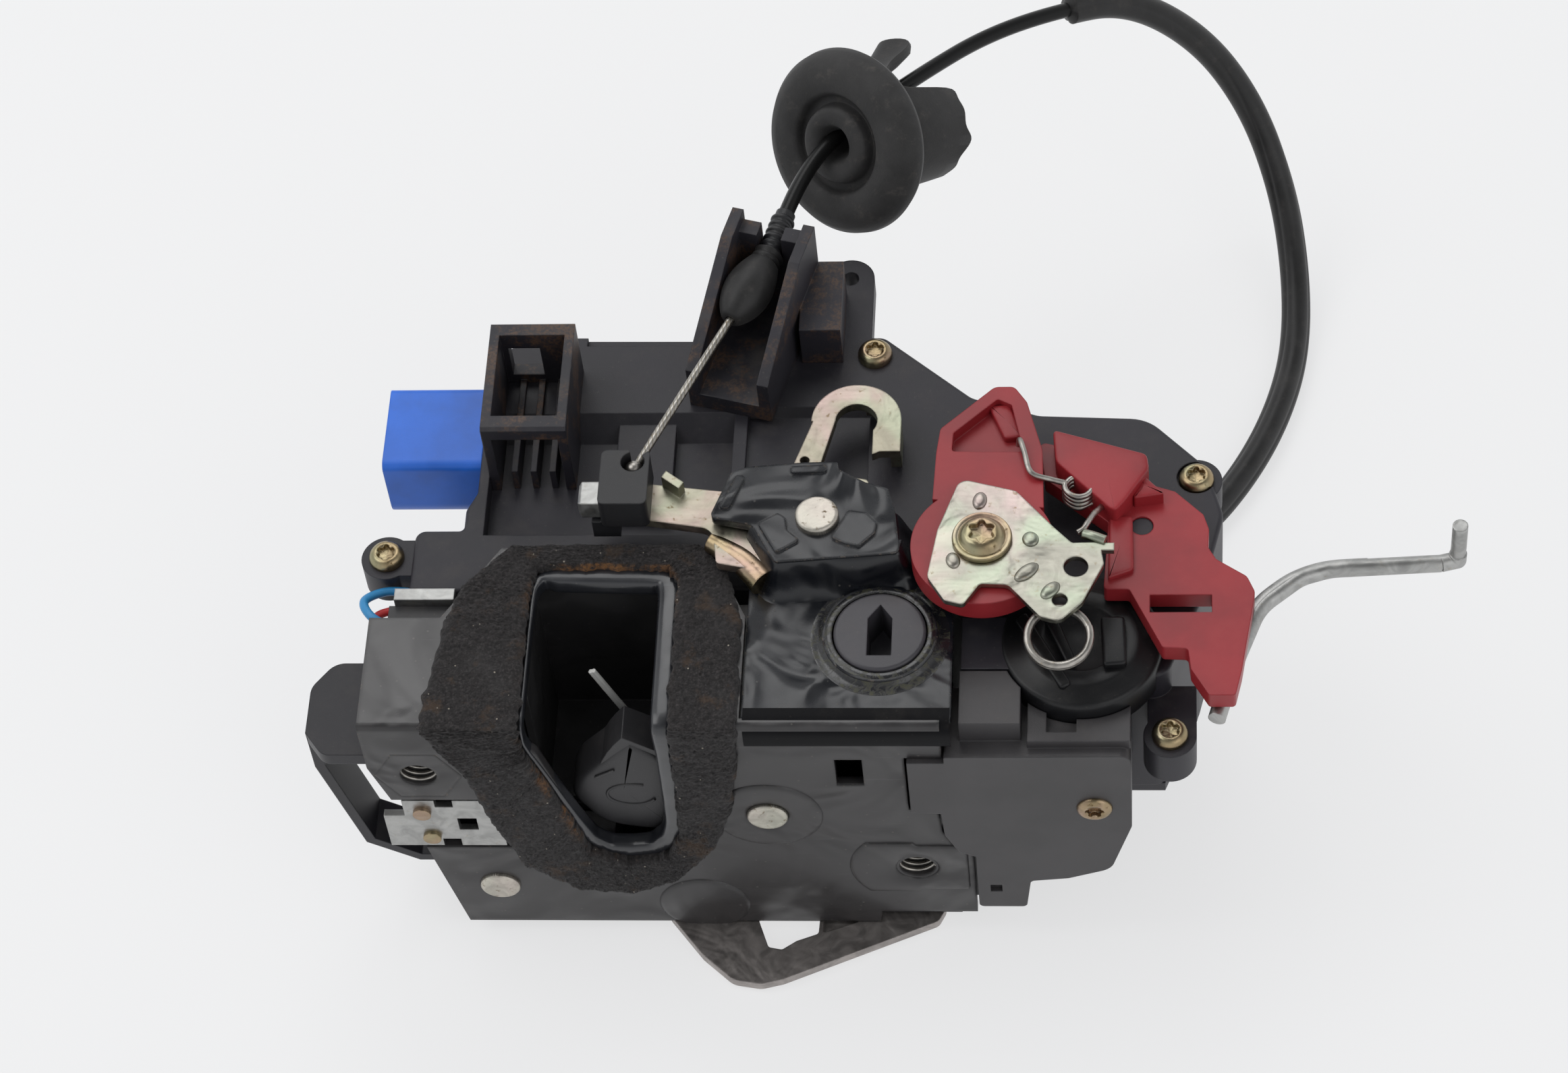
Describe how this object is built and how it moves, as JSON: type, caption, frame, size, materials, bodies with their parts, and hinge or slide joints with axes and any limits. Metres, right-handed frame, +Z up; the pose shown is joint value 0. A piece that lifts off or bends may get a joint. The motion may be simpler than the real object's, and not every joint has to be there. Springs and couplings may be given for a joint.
{
  "type": "door latch actuator",
  "caption": "L-shaped vehicle door latch unit with striker mouth, claw and pawl, release and lock levers, motor drive, connector and a Bowden cable.",
  "frame": {"origin": "centre of the right fixing hole's mouth, on the outer side of the face plate", "axes": "+X along the fold to the right, +Y back from the face plate, +Z up towards the top flange"},
  "size_m": [0.2116, 0.1968, 0.0961],
  "materials": {
    "black_steel": "semi-gloss",
    "gloss_steel": "gloss",
    "bare_steel": "satin",
    "rivet_steel": "satin",
    "black_plastic": "matte",
    "cover_plastic": "satin",
    "gloss_black": "gloss",
    "foam": "matte",
    "gold_zinc": "satin",
    "blue_plastic": "satin",
    "pin_metal": "satin",
    "boot_rubber": "satin",
    "sheath_plastic": "gloss",
    "sleeve_rubber": "matte",
    "zinc_steel": "satin",
    "grommet_rubber": "matte",
    "wire_cover": "satin",
    "spring_steel": "satin",
    "claw_plastic": "satin",
    "yellow_zinc": "satin",
    "iridescent_zinc": "satin",
    "red_plastic": "satin",
    "silver_steel": "satin"
  },
  "bodies": {
    "chassis": {"latch_plate": "black_steel", "fixing_nut_right": "black_steel", "fixing_nut_left": "black_steel", "latch_carrier": "black_plastic", "back_plate": "bare_steel", "claw_rivet": "rivet_steel", "pawl_rivet": "rivet_steel", "mouth_liner": "gloss_black", "mouth_seal": "foam", "support_plate": "gloss_steel", "lever_rivet": "rivet_steel", "main_housing": "black_plastic", "housing_screws": "gold_zinc", "housing_back_cover": "black_plastic", "side_cover": "cover_plastic", "side_cover_screw": "gold_zinc", "guide_frame": "black_plastic", "connector_shroud": "blue_plastic", "connector_pins": "pin_metal", "cable_bracket": "black_plastic", "cable_boot": "boot_rubber", "cable_ferrule": "black_plastic", "cable_sheath": "sheath_plastic", "cable_sleeve": "sleeve_rubber", "cable_tail": "sheath_plastic", "cable_end_fitting": "zinc_steel", "grommet": "grommet_rubber", "lock_pivot_screw": "gold_zinc", "outer_lever_rivet": "rivet_steel", "lock_motor": "bare_steel", "gear_axle": "bare_steel", "lock_switch": "black_plastic", "door_switch": "black_plastic", "side_guard": "black_plastic", "switch_wires": "wire_cover", "claw_spring": "spring_steel", "pawl_spring": "spring_steel"},
    "claw": {"rotary_claw": "claw_plastic"},
    "pawl": {"pawl": "claw_plastic"},
    "slider": {"lock_slider": "zinc_steel", "slider_rivets": "pin_metal"},
    "follower": {"lock_follower": "black_plastic"},
    "hook": {"hook_lever": "yellow_zinc"},
    "release": {"release_lever": "yellow_zinc", "cable_end_block": "black_plastic", "cable_stop_stub": "zinc_steel"},
    "wire": {"inner_wire": "spring_steel"},
    "lock": {"lock_lever": "red_plastic", "lock_bracket": "iridescent_zinc", "overcentre_spring": "spring_steel", "ring_spring": "spring_steel"},
    "lock_plate": {"lock_plate": "red_plastic"},
    "rod": {"link_rod": "zinc_steel"},
    "outer": {"outer_release_lever": "silver_steel"},
    "pinion": {"motor_pinion": "pin_metal"},
    "gear": {"drive_gear": "claw_plastic"}
  },
  "joints": [
    {"name": "claw_turn", "type": "hinge", "parent": "chassis", "child": "claw", "pos_m": [-0.0266, 0.0075, 0.0182], "axis": [0, -1, 0], "range_deg": [0, 50], "stiffness_Nm_per_rad": 0.004, "springref_deg": -34.38},
    {"name": "pawl_turn", "type": "hinge", "parent": "chassis", "child": "pawl", "pos_m": [-0.0792, 0.0075, -0.0065], "axis": [0, 1, 0], "range_deg": [0, 12], "stiffness_Nm_per_rad": 0.004, "springref_deg": -22.92},
    {"name": "slider_travel", "type": "slide", "parent": "chassis", "child": "slider", "axis": [1, 0, 0], "range_m": [0, 0.003]},
    {"name": "follower_turn", "type": "hinge", "parent": "chassis", "child": "follower", "pos_m": [-0.0049, 0.0194, 0.045], "axis": [0, 0, 1], "range_deg": [-45, 45], "stiffness_Nm_per_rad": 0.003},
    {"name": "hook_turn", "type": "hinge", "parent": "chassis", "child": "hook", "pos_m": [-0.0167, 0.0403, 0.0491], "axis": [0, 0, -1], "range_deg": [0, 12], "stiffness_Nm_per_rad": 0.004, "springref_deg": -17.19},
    {"name": "release_turn", "type": "hinge", "parent": "chassis", "child": "release", "pos_m": [-0.0167, 0.0403, 0.0515], "axis": [0, 0, -1], "range_deg": [0, 15], "stiffness_Nm_per_rad": 0.005, "springref_deg": -17.19},
    {"name": "wire_turn", "type": "hinge", "parent": "release", "child": "wire", "pos_m": [-0.0507, 0.0501, 0.0572], "axis": [0, 0, 1], "range_deg": [0, 15]},
    {"name": "lock_turn", "type": "hinge", "parent": "chassis", "child": "lock", "pos_m": [0.0135, 0.0339, 0.0535], "axis": [0, 0, 1], "range_deg": [-6, 12]},
    {"name": "lock_plate_turn", "type": "hinge", "parent": "chassis", "child": "lock_plate", "pos_m": [0.0421, 0.0419, 0.0483], "axis": [0, 0, 1], "range_deg": [-5, 5]},
    {"name": "rod_turn", "type": "hinge", "parent": "lock_plate", "child": "rod", "pos_m": [0.0572, 0.0112, 0.044], "axis": [0, 0, 1], "range_deg": [-8, 8]},
    {"name": "outer_turn", "type": "hinge", "parent": "chassis", "child": "outer", "pos_m": [-0.022, 0.019, -0.0212], "axis": [0, 0, 1], "range_deg": [-14, 0], "stiffness_Nm_per_rad": 0.005, "springref_deg": 17.19},
    {"name": "gear_spin", "type": "hinge", "parent": "chassis", "child": "gear", "pos_m": [0.018, 0.046, 0.00765], "axis": [1, 0, 0], "continuous": true},
    {"name": "motor_spin", "type": "hinge", "parent": "chassis", "child": "pinion", "pos_m": [0.018, 0.046, -0.0076], "axis": [1, 0, 0], "continuous": true}
  ],
  "couplings": [
    {"joint": "wire_turn", "follows": "release_turn", "ratio": 0.983},
    {"joint": "gear_spin", "follows": "motor_spin", "ratio": -0.5}
  ]
}
